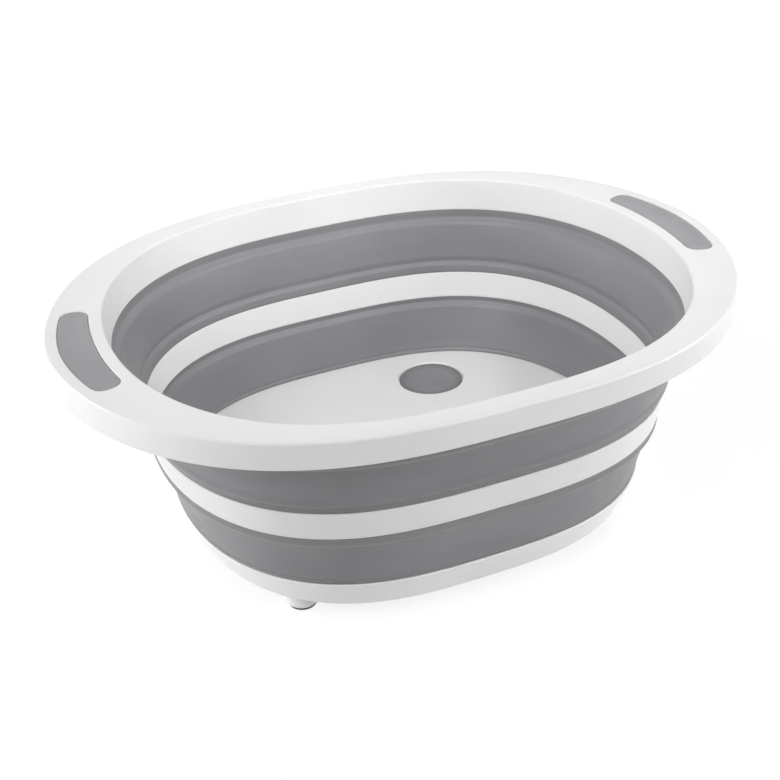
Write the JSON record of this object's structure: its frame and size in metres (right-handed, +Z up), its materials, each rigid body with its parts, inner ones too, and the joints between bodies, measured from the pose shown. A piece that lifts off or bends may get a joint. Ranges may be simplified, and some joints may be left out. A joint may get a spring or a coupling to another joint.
{
  "type": "collapsible wash basin",
  "caption": "Oval wash basin of stiff white rings and soft grey walls that fold flat, with a gripped rim, a drain plug and short feet.",
  "frame": {"origin": "on the ground under the middle of the basin", "axes": "+X along the basin's length, towards the right grip; +Y towards the side that has the drain; +Z up"},
  "size_m": [0.3802, 0.3016, 0.139],
  "materials": {
    "white_plastic": "satin moulded polypropylene",
    "grey_rubber": "satin thermoplastic rubber",
    "grip_rubber": "matte thermoplastic rubber",
    "foot_rubber": "matte dark rubber"
  },
  "bodies": {
    "base": {"base_pan": "white_plastic", "lower_wall": "grey_rubber", "front_left_foot": "foot_rubber", "front_right_foot": "foot_rubber", "back_right_foot": "foot_rubber", "back_left_foot": "foot_rubber"},
    "middle": {"mid_ring": "white_plastic", "upper_wall": "grey_rubber"},
    "rim": {"rim_frame": "white_plastic", "left_grip": "grip_rubber", "right_grip": "grip_rubber"},
    "plug": {"drain_plug": "grey_rubber"}
  },
  "joints": [
    {"name": "lower_fold", "type": "slide", "parent": "base", "child": "middle", "axis": [0, 0, -1], "range_m": [0, 0.0345], "deforming": ["lower_wall"]},
    {"name": "upper_fold", "type": "slide", "parent": "middle", "child": "rim", "axis": [0, 0, -1], "range_m": [0, 0.0379], "deforming": ["upper_wall"]},
    {"name": "plug_pull", "type": "slide", "parent": "base", "child": "plug", "axis": [0, 0, 1], "range_m": [0, 0.13]}
  ]
}
